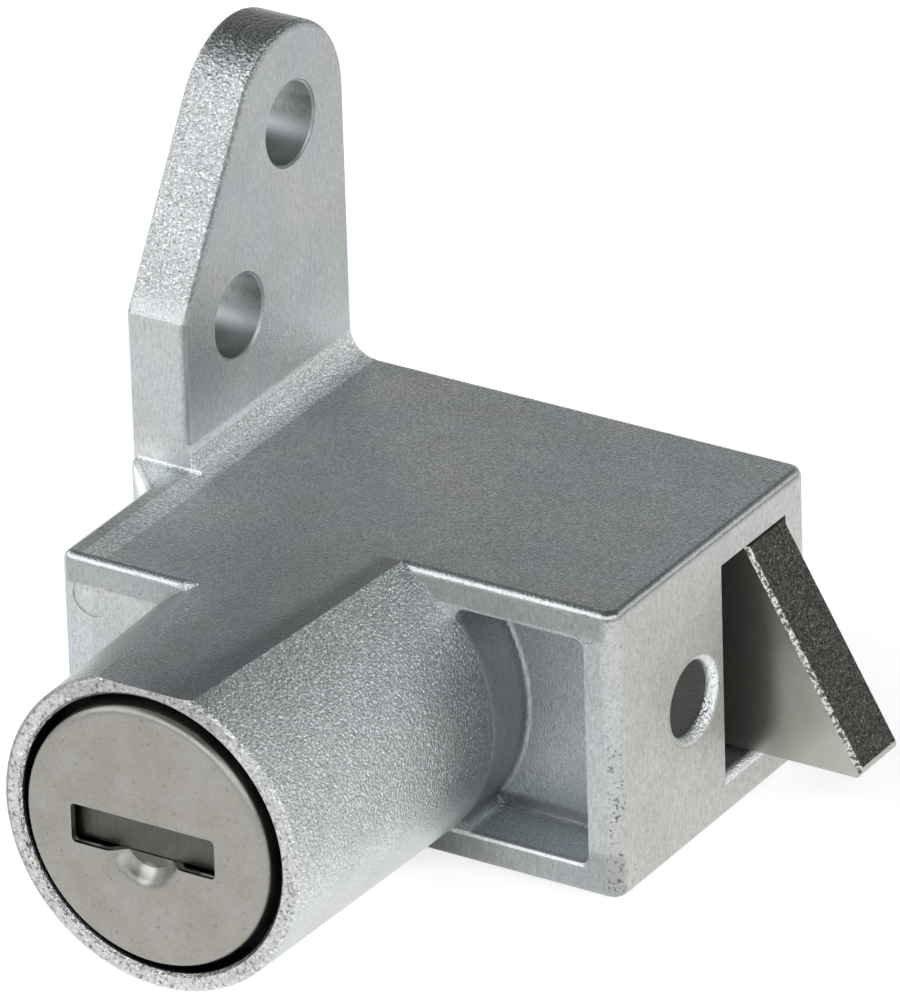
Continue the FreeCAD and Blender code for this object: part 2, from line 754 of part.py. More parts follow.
# Latch bolt
def latch_bolt():
    """A plate with a slanted nose, a lug for the drive pin, a guide rail and a notch for the spring."""
    low = channel_bottom_z + bolt_bottom_gap
    high = channel_top_z - bolt_top_gap
    tail = plug_x - bolt_tail_left_of_plug
    tip = right_x + bolt_nose
    points = [
        Vector(tail, bolt_front_y, low),
        Vector(tip, bolt_front_y, low),
        Vector(tip, bolt_front_y, low + bolt_nose_blunt),
        Vector(right_x, bolt_front_y, high),
        Vector(tail, bolt_front_y, high),
    ]
    outline = rounded_outline(points, [0, bolt_nose_round, 0, 0, 0])
    plate = Part.Face(outline).extrude(Vector(0, bolt_thick, 0))
    slant = (points[2] + points[3]) * 0.5
    for y, size in ((bolt_front_y, bolt_front_chamfer), (bolt_back_y, bolt_back_chamfer)):
        sides = [e for e in plate.Edges if e.Length > bolt_nose and near_slant(e, slant, y)]
        plate = plate.makeChamfer(size, sides)
    lug_right = drive_x - drive_pin_r - bolt_drive_gap
    rail_right = plug_x + bolt_rail_right_of_plug
    front = channel_front_y + bolt_front_gap
    middle_y = bolt_middle_y()
    lug = box(lug_right - bolt_lug_length, lug_right, front, middle_y, low, low + bolt_lug_height)
    rail = box(tail, rail_right, front, middle_y, high - bolt_rail_height, high)
    notch_end = plug_x + spring_notch_right_of_plug
    half = spring_r + spring_notch_gap
    middle_z = plug_z + spring_above_plug
    notch = box(tail - 1, notch_end, front - 1, bolt_back_y + 1, middle_z - half, middle_z + half)
    horn = along_x(horn_r, notch_end - horn_length, notch_end + 1, middle_y, middle_z)
    return plate.multiFuse([lug, rail]).cut(notch).fuse(horn).removeSplitter()


def near_slant(edge, slant, y):
    """True for the long edge of the nose's slanted face at that y."""
    middle = edge.valueAt((edge.FirstParameter + edge.LastParameter) / 2)
    along = math.hypot(middle.x - slant.x, middle.z - slant.z)
    return near(middle.y, y) and along < bolt_nose_blunt


def bolt_middle_y():
    return bolt_front_y + bolt_thick / 2


def bolt_spring():
    return coil_along_x(
        spring_r,
        spring_wire,
        channel_left_x + spring_end_gap,
        plug_x + spring_notch_right_of_plug - spring_end_gap,
        bolt_middle_y(),
        plug_z + spring_above_plug,
        spring_turns,
    )


def main():
    nodes = {
        "housing": housing(),
        "plug_core": plug_core(),
        "face_cap": face_cap(),
        "dust_shutter": dust_shutter(),
        "shutter_pin": shutter_pin(),
        "shutter_spring": shutter_spring(),
        "retaining_pin": retaining_pin(),
        "drive_pin": drive_pin(),
        "latch_bolt": latch_bolt(),
        "bolt_spring": bolt_spring(),
    }
    for i in range(wafer_count):
        nodes[f"wafer_{i + 1}"] = wafer(i)
        nodes[f"wafer_spring_{i + 1}"] = wafer_spring(i)
    os.makedirs("parts", exist_ok=True)
    for name, shape in nodes.items():
        shape.exportStep(f"parts/{name}.step")
        print(name, "solids", len(shape.Solids), "valid", shape.isValid(), "volume", round(shape.Volume, 2))


main()
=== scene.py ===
import json
import math

import bpy
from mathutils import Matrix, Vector

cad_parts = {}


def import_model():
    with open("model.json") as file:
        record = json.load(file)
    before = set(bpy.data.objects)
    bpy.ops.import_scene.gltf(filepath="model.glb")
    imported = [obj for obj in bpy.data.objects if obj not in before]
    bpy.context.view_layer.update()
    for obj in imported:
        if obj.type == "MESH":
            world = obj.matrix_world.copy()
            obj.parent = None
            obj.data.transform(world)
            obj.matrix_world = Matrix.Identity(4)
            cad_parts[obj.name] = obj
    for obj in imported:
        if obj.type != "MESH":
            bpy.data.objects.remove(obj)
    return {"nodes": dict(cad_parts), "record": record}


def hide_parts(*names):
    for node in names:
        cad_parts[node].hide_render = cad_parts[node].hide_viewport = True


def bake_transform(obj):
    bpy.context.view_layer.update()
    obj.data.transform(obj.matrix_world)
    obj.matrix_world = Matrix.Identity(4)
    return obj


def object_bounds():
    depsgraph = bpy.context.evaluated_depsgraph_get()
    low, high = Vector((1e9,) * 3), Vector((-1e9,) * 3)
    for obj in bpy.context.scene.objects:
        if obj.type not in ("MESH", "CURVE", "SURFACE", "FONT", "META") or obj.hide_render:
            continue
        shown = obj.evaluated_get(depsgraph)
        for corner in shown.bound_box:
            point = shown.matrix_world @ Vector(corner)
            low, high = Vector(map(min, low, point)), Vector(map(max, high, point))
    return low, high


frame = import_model()
cad_box = [list(corner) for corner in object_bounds()]

MM = 0.001

# Places and sizes in millimetres, in the part's frame
PLUG = Vector((13.5, 0.0, -13.9))
FACE_Y = -8.0
RIM_Y = -24.55
CAP_Y = -24.9
TOP_Z = -6.2
RIGHT_X = 28.95
BARREL_R = 8.55
CONE_SLOPE = 0.026
MOUTH_R = 7.2
SLOT_X = 13.32
SLOT_Z = -14.1
DIMPLE = Vector((13.25, -24.5, -16.0))
EAR_X = 3.4
EAR_SLANT_Z = 1.55
EAR_HOLE_R = 2.1
EAR_HOLES = ((0.0, 0.0), (5.05, 8.1))
EAR_FOOT = Vector((1.4, -6.2, TOP_Z))
COVE_R = 1.4
PIN_Y = -0.9
PIN_HOLE_R = 1.9
WINDOW_LOW = -19.35
POCKET_RIGHT = 27.25
POCKET_FLOOR_Y = -4.8
POCKET_LOW = -19.85
POCKET_HIGH = -7.85
LIP_LEFT = 18.3
SHOULDER_RIGHT = 4.0

# Sizes of the grain in millimetres
GRIT = 0.13
PIT = 0.2
PEBBLE = 0.3


class Net:
    """Short calls for building a node tree."""

    def __init__(self, tree):
        self.tree = tree
        self.tree.nodes.clear()

    def add(self, kind, **settings):
        node = self.tree.nodes.new(kind)
        for key, value in settings.items():
            setattr(node, key, value)
        return node

    def put(self, value, socket):
        if isinstance(value, bpy.types.NodeSocket):
            self.tree.links.new(value, socket)
        else:
            socket.default_value = value

    def math(self, operation, a, b=0.0):
        node = self.add("ShaderNodeMath", operation=operation)
        self.put(a, node.inputs[0])
        self.put(b, node.inputs[1])
        return node.outputs[0]

    def chain(self, operation, terms):
        result = terms[0]
        for term in terms[1:]:
            result = self.math(operation, result, term)
        return result

    def times(self, *factors):
        return self.chain("MULTIPLY", factors)

    def plus(self, *terms):
        return self.chain("ADD", terms)

    def most(self, *terms):
        return self.chain("MAXIMUM", terms)

    def without(self, area, *others):
        """The area, less the other areas."""
        for other in others:
            area = self.times(area, self.math("SUBTRACT", 1.0, other))
        return area

    def step(self, x, low, high, start=0.0, end=1.0):
        """Smoothly from start at low to end at high."""
        node = self.add("ShaderNodeMapRange", interpolation_type="SMOOTHSTEP")
        self.put(x, node.inputs["Value"])
        node.inputs["From Min"].default_value = low
        node.inputs["From Max"].default_value = high
        self.put(start, node.inputs["To Min"])
        self.put(end, node.inputs["To Max"])
        return node.outputs["Result"]

    def below(self, x, limit, soft=0.1):
        return self.step(x, limit, limit + soft, 1.0, 0.0)

    def above(self, x, limit, soft=0.1):
        return self.step(x, limit - soft, limit)

    def between(self, x, low, high, soft=0.1):
        """1 inside the range, 0 outside, with soft ends."""
        return self.times(self.above(x, low, soft), self.below(x, high, soft))

    def vector(self, operation, a, b=None, scale=None):
        node = self.add("ShaderNodeVectorMath", operation=operation)
        self.put(a, node.inputs[0])
        if scale is not None:
            self.put(scale, node.inputs["Scale"])
        if b is not None:
            self.put(b, node.inputs[1])
        return node.outputs["Value" if operation == "LENGTH" else "Vector"]

    def split(self, v):
        node = self.add("ShaderNodeSeparateXYZ")
        self.put(v, node.inputs[0])
        return node.outputs

    def noise(self, p, size, detail=2.0, roughness=0.5, stretch=None):
        """Noise whose blobs are about size millimetres wide."""
        if stretch:
            p = self.vector("MULTIPLY", p, stretch)
        node = self.add("ShaderNodeTexNoise")
        self.put(p, node.inputs["Vector"])
        node.inputs["Scale"].default_value = 1.0 / size
        node.inputs["Detail"].default_value = detail
        node.inputs["Roughness"].default_value = roughness
        return node.outputs["Fac"]

    def blend(self, factor, a, b):
        """The colour a where the factor is 0, b where it is 1."""
        node = self.add("ShaderNodeMix", data_type="RGBA")
        self.put(factor, node.inputs["Factor"])
        for value, socket in ((a, node.inputs[6]), (b, node.inputs[7])):
            self.put(value if isinstance(value, bpy.types.NodeSocket) else (*value, 1.0), socket)
        return node.outputs[2]

    def mix(self, factor, a, b):
        """The number a where the factor is 0, b where it is 1."""
        node = self.add("ShaderNodeMix", data_type="FLOAT")
        self.put(factor, node.inputs[0])
        self.put(a, node.inputs[2])
        self.put(b, node.inputs[3])
        return node.outputs[0]


class Surface(Net):
    """A material's tree with the place in millimetres and the normal, both in the part's frame."""

    def __init__(self, name):
        self.material = bpy.data.materials.new(name)
        self.material.use_nodes = True
        super().__init__(self.material.node_tree)
        coords = self.add("ShaderNodeTexCoord")
        self.place = self.vector("MULTIPLY", coords.outputs["Object"], (1 / MM, 1 / MM, 1 / MM))
        self.x, self.y, self.z = self.split(self.place)
        self.nx, self.ny, self.nz = self.split(coords.outputs["Normal"])
        self.shade = 1.0

    def relief(self, size, detail=2.0, roughness=0.6, stretch=None):
        """Noise around zero, so that its amount can change from place to place without a step."""
        return self.math("SUBTRACT", self.noise(self.place, size, detail, roughness, stretch), 0.5)

    def patches(self, size, low=0.3, high=0.7):
        """Soft patches, about size millimetres wide."""
        return self.step(self.noise(self.place, size), low, high)

    def reach(self, centre, axes):
        """Distance from a centre along the axes marked 1."""
        offset = self.vector("SUBTRACT", self.place, centre)
        return self.vector("LENGTH", self.vector("MULTIPLY", offset, axes))

    def tone(self, area, level):
        """Multiplies the shade by the level inside the area: darker under 1, brighter over 1."""
        self.shade = self.times(self.shade, self.mix(area, 1.0, level))

    def vary(self, relief, amount):
        """Multiplies the shade by a relief around 1."""
        self.shade = self.times(self.shade, self.plus(1.0, self.times(relief, amount)))

    def finish(self, color, roughness, height, depth, metallic=1.0):
        """The shader: depth is what a height of 1 stands for in millimetres."""
        shader = self.add("ShaderNodeBsdfPrincipled")
        shader.inputs["Metallic"].default_value = metallic
        self.put(self.vector("SCALE", color, scale=self.shade), shader.inputs["Base Color"])
        self.put(roughness, shader.inputs["Roughness"])
        bump = self.add("ShaderNodeBump")
        bump.inputs["Distance"].default_value = depth * MM
        self.put(height, bump.inputs["Height"])
        self.put(bump.outputs["Normal"], shader.inputs["Normal"])
        out = self.add("ShaderNodeOutputMaterial")
        self.put(shader.outputs["BSDF"], out.inputs["Surface"])
        return self.material


class Casting(Surface):
    """The housing's areas, each a mask from 0 to 1."""

    def __init__(self, name):
        super().__init__(name)
        self.radius = self.reach(PLUG, (1.0, 0.0, 1.0))
        self.top = self.step(self.nz, 0.9, 0.98)
        self.front = self.step(self.ny, -0.98, -0.9, 1.0, 0.0)
        before_face = self.below(self.y, FACE_Y, 0.2)
        self.barrel = self.times(self.below(self.radius, BARREL_R + 0.1), before_face)
        self.right = self.without(self.step(self.nx, 0.9, 0.98), self.barrel)
        self.body = self.without(self.below(self.z, TOP_Z - 0.01, 0.02), self.barrel)
        above_top = self.above(self.z, TOP_Z + 0.05, 0.05)
        self.ear = self.times(above_top, self.below(self.x, EAR_X + 0.05, 0.05))
        self.upper_ear = self.step(self.z, EAR_SLANT_Z, EAR_SLANT_Z + 1.6)
        self.bored = self.plus(*(self.ear_hole(y, z) for y, z in EAR_HOLES))
        self.pocket = self.inside_pocket()
        self.lip = self.pocket_lip()
        self.under = self.facing_down()
        self.edges = self.top_edges()
        self.corner = self.right_corner()
        self.slant = self.ear_slant()
        self.cove = self.ear_cove()
        self.rim = self.barrel_rim()
        self.pin_mouth = self.pin_hole_mouth()
        self.sill = self.window_sill()
        self.sandy = self.sandy_parts()

    def ear_hole(self, y, z):
        """The inside of an ear hole, whose axis runs along X."""
        reach = self.reach((0.0, y, z), (0.0, 1.0, 1.0))
        return self.times(self.below(reach, EAR_HOLE_R + 0.04, 0.06), self.below(self.x, EAR_X, 0.2))

    def inside_pocket(self):
        return self.times(
            self.between(self.x, PLUG.x, POCKET_RIGHT, 0.05),
            self.between(self.y, FACE_Y + 0.5, POCKET_FLOOR_Y + 0.1, 0.4),
            self.between(self.z, POCKET_LOW - 0.05, POCKET_HIGH, 0.05),
        )

    def pocket_lip(self):
        """The front edge of the pocket's lower wall, where a highlight is painted."""
        across = self.times(
            self.between(self.y, FACE_Y - 0.05, FACE_Y + 0.12, 0.05),
            self.between(self.z, POCKET_LOW - 0.16, POCKET_LOW + 0.03, 0.05),
        )
        return self.times(across, self.between(self.x, LIP_LEFT, POCKET_RIGHT - 0.5, 0.4))

    def below_pocket(self):
        """The front face below the pocket, where a shadow under the barrel is painted."""
        facing = self.times(self.below(self.ny, -0.5, 0.3), self.above(self.y, FACE_Y - 0.1))
        return self.times(facing, self.below(self.z, POCKET_LOW + 0.6, 0.4))

    def facing_down(self):
        """Faces that look down, with a slow change round the barrel."""
        flat = self.step(self.nz, -0.1, 0.4, 1.0, 0.0)
        round_side = self.step(self.nz, -0.75, 0.05, 1.0, 0.0)
        return self.mix(self.barrel, flat, round_side)

    def top_edges(self):
        """The rounded edges round the top face."""
        turned = self.between(self.nz, 0.12, 0.97, 0.02)
        return self.times(turned, self.body, self.above(self.z, TOP_Z - 0.5))

    def right_corner(self):
        """The upright corner between the front and the right end."""
        turned = self.step(self.times(self.nx, self.ny, -1.0), 0.02, 0.3)
        return self.without(self.times(turned, self.above(self.x, RIGHT_X - 0.9)), self.pocket)

    def ear_slant(self):
        """The ear's slanted front and round top."""
        level = self.between(self.nx, -0.4, 0.4, 0.3)
        return self.without(self.times(level, self.upper_ear), self.bored)

    def ear_line(self):
        """The round edge between the ear's inner face and its front, slant and top, where a dark line of
        shade is painted.
        """
        turned = self.between(self.nx, 0.62, 0.8, 0.15)
        above_foot = self.above(self.z, TOP_Z + 2.6, 1.2)
        return self.without(self.times(self.ear, turned, above_foot), self.bored)

    def ear_cove(self):
        """The wide cove at the foot of the ear's inner face."""
        across = self.between(self.x, EAR_X + 0.02, EAR_X + COVE_R, 0.02)
        up = self.between(self.z, TOP_Z + 0.01, TOP_Z + COVE_R, 0.02)
        return self.times(across, up)

    def barrel_rim(self):
        """The barrel's front end and the rounding round it."""
        return self.times(self.below(self.y, RIM_Y + 0.1, 0.2), self.below(self.ny, -0.7, 0.4))

    def mouth(self):
        """The inside of the barrel's mouth, round the plug's head, where near-black shade is painted."""
        deep = self.between(self.y, RIM_Y + 0.4, RIM_Y + 5.0, 0.3)
        return self.times(self.below(self.radius, MOUTH_R + 0.05), deep)

    def pin_hole_mouth(self):
        """The rounded mouth of the hole in the right end face, where a highlight is painted."""
        reach = self.reach((RIGHT_X, PIN_Y, PLUG.z), (0.0, 1.0, 1.0))
        deep = self.between(self.x, RIGHT_X - 0.6, RIGHT_X - 0.03, 0.02)
        return self.times(self.below(reach, PIN_HOLE_R + 0.45), deep)

    def window_sill(self):
        """The rounded lower edge of the bolt's window, where a highlight is painted."""
        turned = self.times(self.above(self.nx, 0.15), self.above(self.nz, 0.05, 0.05))
        return self.times(turned, self.above(self.x, RIGHT_X - 0.45), self.below(self.z, WINDOW_LOW))

    def crease(self):
        """A soft band along the right edge of the flat on top of the barrel, where shade is painted."""
        cone = self.plus(BARREL_R, self.times(self.math("SUBTRACT", self.y, FACE_Y), CONE_SLOPE))
        beside = self.math("SUBTRACT", self.radius, cone)
        band = self.times(self.top, self.above(self.x, PLUG.x), self.between(beside, -0.28, 0.1, 0.3))
        return self.times(band, self.below(self.y, FACE_Y, 0.3))

    def sandy_parts(self):
        """Where the cast skin is sandy: the barrel's upper right side, the ear's slant and its cove."""
        left_side = self.times(self.barrel, self.below(self.nx, -0.5, 0.25))
        ear_base = self.times(self.without(self.ear, self.upper_ear), 0.9)
        smooth = self.most(self.front, self.right, self.under, self.top, self.bored, left_side, ear_base)
        smooth = self.most(smooth, self.times(self.edges, 0.9), self.times(self.pocket, 0.9))
        return self.most(self.without(1.0, smooth), self.cove)


def zinc_color_and_painted_light(s):
    """Bluish grey, warmer at the right end, more neutral where it is sandy, with painted light and shade:
    darker and bluer in the pocket, lighter on the ear's slant and the sandy barrel, nearly white on the
    cove, the pin hole's mouth, the window sill and the pocket lip.
    """
    blotches = s.step(s.noise(s.place, 4.0, 1.0), 0.35, 0.65)
    color = s.blend(blotches, (0.55, 0.575, 0.585), (0.58, 0.585, 0.575))
    right_end = s.times(s.above(s.x, RIGHT_X - 0.2, 0.8), s.above(s.nx, 0.9, 0.4))
    color = s.blend(right_end, color, (0.585, 0.58, 0.555))
    # Painted shade: darker, bluer colour inside the pocket.
    color = s.blend(s.pocket, color, (0.47, 0.5, 0.515))
    # Painted light: lighter colour, also more neutral in hue, on the ear's slant and the sandy barrel.
    color = s.blend(s.most(s.slant, s.times(s.barrel, s.sandy)), color, (0.64, 0.645, 0.64))
    color = s.blend(s.rim, color, (0.6, 0.595, 0.58))
    # Painted highlight: the cove at the ear's foot nearly white.
    color = s.blend(s.cove, color, (0.94, 0.945, 0.94))
    # Painted highlights: the pin hole's mouth, the window sill and the pocket lip nearly white.
    return s.blend(s.most(s.pin_mouth, s.sill, s.lip), color, (0.9, 0.91, 0.91))


def paint_ear_light_and_shade(s):
    """Painted light and shade on the ear, its foot, its cove and its two holes."""
    # Painted light: the ear's inner face lighter low down, most towards the front, and darker higher up.
    low_ear = s.step(s.y, -2.0, 9.0, 1.55, 0.95)
    s.tone(s.times(s.ear, s.above(s.nx, 0.95)), s.step(s.z, -5.5, -0.5, low_ear, 0.8))
    # Painted light: the ear's front faces lighter.
    s.tone(s.times(s.ear, s.front), 1.3)
    # Painted highlight: a bright patch round the ear's foot.
    s.tone(s.below(s.reach(EAR_FOOT, (1.0, 1.0, 1.0)), 0.5, 1.6), 1.9)
    # Painted shade: the part of the cove that faces sideways darker.
    s.tone(s.times(s.cove, s.above(s.nx, 0.85, 0.3)), 0.8)
    # Painted shade: a dark line along the ear's rounded edge, darker higher up.
    s.tone(s.ear_line(), s.step(s.z, EAR_SLANT_Z - 1.0, EAR_SLANT_Z + 1.0, 0.75, 0.5))
    # Painted shade: the ear's round top darker.
    s.tone(s.times(s.slant, s.above(s.nz, 0.95, 0.25)), 0.36)
    # Painted light and shade inside the ear holes: lighter at the far end and on the upper wall, darker on
    # the sides and darkest on the bottom.
    far_end = s.step(s.x, 0.7, 1.0, 1.5, 1.0)
    upper_wall = s.step(s.nz, -0.5, -0.1, 1.4, 0.75)
    lower_wall = s.step(s.nz, 0.5, 0.85, 1.0, 0.4)
    s.tone(s.bored, s.times(far_end, upper_wall, lower_wall))


def paint_barrel_light_and_shade(s):
    """Painted light and shade on the barrel: the flat on top, the sides, the lower half and the mouth."""
    # Painted light: the left of the flat on top, towards the front, lighter.
    flat_left = s.times(s.top, s.below(s.y, FACE_Y - 9.0, 5.0), s.below(s.x, PLUG.x - 2.8, 2.0))
    s.tone(flat_left, 1.3)
    # Painted light: the lower half lighter.
    s.tone(s.times(s.barrel, s.step(s.nz, 0.1, -0.4)), 1.14)
    # Painted shade: the right side darker towards the front face.
    right_side = s.times(s.barrel, s.between(s.nz, -0.15, 0.3, 0.35), s.above(s.nx, 0.6, 0.5))
    s.tone(right_side, s.step(s.y, FACE_Y - 7.0, FACE_Y - 1.5, 1.05, 0.54))
    # Painted shade: a dark band along the crease.
    s.tone(s.crease(), 0.6)
    # Painted shade: a dark band on the left side.
    s.tone(s.times(s.barrel, s.between(s.nx, -0.6, -0.3, 0.15)), 0.6)
    # Painted shade: the inside of the mouth nearly black.
    s.tone(s.mouth(), 0.03)


def paint_body_light_and_patches(s):
    """Painted light and shade on the top, the front faces, the pocket and the right edge, and soft patches
    of tone.
    """
    # Painted light: the top lighter towards the back and darker towards the right.
    backwards = s.step(s.y, -24.0, 6.0, 0.8, 1.14)
    rightwards = s.step(s.x, 6.0, 24.0, 0.94, 0.88)
    s.tone(s.top, s.times(backwards, rightwards))
    # Painted shadow: the front face below the pocket dark next to the barrel, lighter to the right.
    s.tone(s.below_pocket(), s.step(s.x, 17.5, 25.0, 0.18, 0.74))
    # Painted shade: the front faces above the pocket's top darker.
    s.tone(s.times(s.front, s.above(s.z, POCKET_HIGH + 0.2)), 0.76)
    # Painted light: the shoulder's front face lighter.
    s.tone(s.times(s.front, s.below(s.z, POCKET_HIGH), s.below(s.x, SHOULDER_RIGHT)), 1.08)
    # Painted light and shade in the pocket: the floor lighter, the side wall and the back wall darker.
    s.tone(s.times(s.pocket, s.above(s.nz, 0.9, 0.2)), 1.85)
    s.tone(s.times(s.pocket, s.above(s.nx, 0.5, 0.3)), 0.8)
    s.tone(s.times(s.pocket, s.front), 0.97)
    # Painted highlight: the pocket lip lighter.
    s.tone(s.lip, 1.5)
    # Painted shade: the top edges darker at the right end.
    s.tone(s.times(s.edges, s.above(s.x, RIGHT_X - 0.7)), 0.84)
    s.tone(s.patches(3.0, 0.35, 0.7), 0.93)


def add_grain_and_painted_glints(s):
    """Grit, upright streaks, white grains painted as glints, and pits that are deeper on the worn rim and
    corner.
    """
    level = s.without(s.top, s.times(s.pocket, 0.7))
    gritty = s.plus(s.times(level, 1.5), s.times(s.sandy, 1.2), s.times(s.under, 0.3), 0.2)
    s.vary(s.relief(GRIT, 2.0, 0.7), gritty)
    streaks = s.relief(GRIT, 2.0, 0.7, stretch=(1.0, 1.0, 0.3))
    s.vary(streaks, s.times(s.most(s.front, s.right, s.pocket), 0.7))
    # Painted glints: white grains on the sandy parts, the pin hole's mouth, the pocket lip and the rim.
    white = s.step(s.noise(s.place, 0.14, 2.0, 0.65), 0.54, 0.64)
    s.tone(s.times(white, s.most(s.sandy, s.pin_mouth, s.lip, s.times(s.rim, 0.6))), 1.6)

    pits = s.noise(s.place, PIT, 2.0, 0.65)
    lower_left = s.times(s.rim, s.below(s.x, PLUG.x - 1.0, 3.0), s.below(s.z, PLUG.z - 1.0, 3.0))
    worn = s.times(lower_left, s.patches(1.1, 0.4, 0.6))
    s.tone(s.times(s.step(pits, 0.5, 0.66), s.rim), s.mix(worn, 0.55, 0.22))
    chipped = s.times(s.patches(0.8, 0.45, 0.6), s.below(s.z, PLUG.z - 2.0, 5.0))
    s.tone(s.times(s.step(pits, 0.52, 0.64), s.corner), s.mix(chipped, 0.8, 0.3))
    flat = s.most(s.front, s.times(s.right, s.mix(s.ear, 1.0, 0.5)), s.edges)
    s.tone(s.times(s.step(pits, 0.58, 0.7), flat), 0.74)


def zinc_height(s):
    """Fine grain all over, sand on the sandy parts, pebbles on the slant, the corner and the rim."""
    fine = s.times(s.relief(0.1), s.plus(0.3, s.times(s.top, 0.35)))
    sand = s.times(s.relief(0.15, 2.0, 0.7), s.mix(s.sandy, 0.15, 1.2))
    pebbled = s.most(s.times(s.slant, 1.1), s.times(s.most(s.corner, s.rim), 0.6), 0.12)
    pebble = s.times(s.relief(PEBBLE, 1.0, 0.5), pebbled)
    smoothed = s.without(1.0, s.times(s.bored, 0.8), s.times(s.edges, 0.6))
    return s.times(s.plus(fine, sand, pebble), smoothed)


def zinc():
    """Plated zinc casting: satin and bluish, sandy on the barrel and the slant, smoother on flat faces."""
    s = Casting("zinc_casting")
    color = zinc_color_and_painted_light(s)
    paint_ear_light_and_shade(s)
    paint_barrel_light_and_shade(s)
    paint_body_light_and_patches(s)
    add_grain_and_painted_glints(s)
    roughness = s.mix(s.most(s.front, s.right, s.under), 0.22, 0.38)
    roughness = s.mix(s.bored, roughness, 0.42)
    return s.finish(color, roughness, zinc_height(s), 0.1, metallic=0.85)


def cap_steel():
    """Satin stainless sheet: warm, blotched, with fine scratches and specks."""
    s = Surface("cap_steel")
    blotch = s.noise(s.place, 1.6, 3.0, 0.6)
    color = s.blend(s.step(blotch, 0.3, 0.7), (0.362, 0.347, 0.316), (0.336, 0.322, 0.286))

    # Painted shade and glints: the slot's lower wall is dark at the front, with a light line behind at
    # both ends
    wall = s.times(s.above(s.nz, 0.9, 0.2), s.between(s.z, SLOT_Z - 1.2, SLOT_Z - 0.9, 0.05))
    s.tone(s.times(wall, s.below(s.y, CAP_Y + 0.12)), 0.12)
    ends = s.without(1.0, s.between(s.x, SLOT_X - 2.4, SLOT_X + 2.9, 0.3))
    s.tone(s.times(wall, s.above(s.y, CAP_Y + 0.2), ends), 3.0)

    # Painted shade and highlight: the dimple is dark inside, darkest on its flat floor, with a bright spot
    # in the middle
    s.tone(s.times(s.above(s.y, CAP_Y + 0.6, 0.15), s.below(s.ny, -0.97, 0.07)), 0.6)
    dimple = s.reach(DIMPLE, (1.0, 0.0, 1.0))
    s.tone(s.times(s.below(dimple, 1.0, 0.5), s.above(s.y, CAP_Y + 0.1)), 0.66)
    s.tone(s.below(dimple, 0.2, 0.4), 2.4)

    s.tone(s.step(s.noise(s.place, PIT, 2.0, 0.6), 0.66, 0.7), 0.7)
    s.vary(s.relief(0.16, 3.0, 0.7), 0.3)
    s.vary(s.relief(0.14, 2.0, 0.6, stretch=(0.12, 1.0, 1.0)), 0.12)
    scratches = s.relief(0.12, 2.0, 0.6, stretch=(1.0, 1.0, 0.08))
    height = s.plus(s.times(s.relief(0.08), 0.6), s.times(scratches, 0.4))
    return s.finish(color, s.step(blotch, 0.3, 0.7, 0.34, 0.42), height, 0.012)


def nickel():
    """Nickel plated bolt: smooth sides, a grainy slanted face painted dark as shade with painted glints,
    and light edges painted as highlights.
    """
    s = Surface("bolt_steel")
    up = s.above(s.nz, 0.35, 0.15)
    slanted = s.times(s.above(s.nx, 0.82, 0.07), up)
    back_edge = s.times(up, s.above(s.ny, 0.5, 0.3))
    chamfer = s.times(s.above(s.nx, 0.5), up, s.below(s.ny, -0.6, 0.3))
    spots = s.step(s.noise(s.place, 0.17, 2.0, 0.65), 0.4, 0.62)
    glints = s.step(s.noise(s.place, GRIT, 2.0, 0.7), 0.63, 0.68)
    # Painted shade: the slanted face nearly black, speckled with painted glints.
    dark = s.blend(spots, (0.028, 0.024, 0.02), (0.1, 0.093, 0.078))
    color = s.blend(s.patches(1.5), (0.5, 0.485, 0.445), (0.47, 0.46, 0.42))
    color = s.blend(slanted, color, s.blend(glints, dark, (0.45, 0.43, 0.38)))
    # Painted highlight: the back edge of the slanted face lighter.
    color = s.blend(back_edge, color, (0.5, 0.48, 0.43))
    # Painted highlight: the chamfer bright, speckled with dark.
    color = s.blend(chamfer, color, s.blend(spots, (0.12, 0.11, 0.095), (0.8, 0.78, 0.73)))
    s.vary(s.relief(0.3, 3.0, 0.7), 0.25)
    grain = s.plus(s.times(s.relief(0.11), 0.9), s.times(s.relief(0.26), 0.7))
    height = s.times(grain, s.plus(s.mix(slanted, 0.06, 1.0), chamfer))
    return s.finish(color, s.mix(slanted, 0.3, 0.25), height, 0.1, metallic=0.95)


def shutter_steel():
    """Dark grey satin flap with arc scratches round the plug's axis."""
    s = Surface("shutter_steel")
    rings = s.add("ShaderNodeTexNoise", noise_dimensions="1D")
    s.put(s.reach(PLUG, (1.0, 0.0, 1.0)), rings.inputs["W"])
    rings.inputs["Scale"].default_value = 4.0
    rings.inputs["Detail"].default_value = 3.0
    s.vary(s.math("SUBTRACT", rings.outputs["Fac"], 0.5), 0.4)
    s.vary(s.relief(0.15, 2.0, 0.7), 0.4)
    color = s.blend(s.patches(1.2), (0.115, 0.11, 0.1), (0.1, 0.1, 0.088))
    return s.finish(color, 0.38, s.relief(0.1), 0.006)


def plain_metal(name, color, roughness=0.3, grain=0.15, depth=0.01):
    """Machined or drawn metal with a faint blotch and grain."""
    s = Surface(name)
    s.vary(s.relief(2.0), 0.3)
    s.vary(s.relief(grain, 2.0, 0.7), 0.4)
    blotched = s.blend(s.patches(1.0), color, tuple(c * 0.9 for c in color))
    return s.finish(blotched, roughness, s.relief(grain, 2.0, 0.5), depth)


def plug_brass():
    """Brass plug, dull grey where the front end shows through the slot."""
    s = Surface("plug_brass")
    brass = s.blend(s.patches(1.0), (0.6, 0.48, 0.25), (0.54, 0.43, 0.22))
    color = s.blend(s.below(s.y, CAP_Y + 3.0, 0.5), brass, (0.09, 0.088, 0.08))
    s.vary(s.relief(0.15, 2.0, 0.7), 0.4)
    return s.finish(color, 0.3, s.relief(0.15), 0.01)


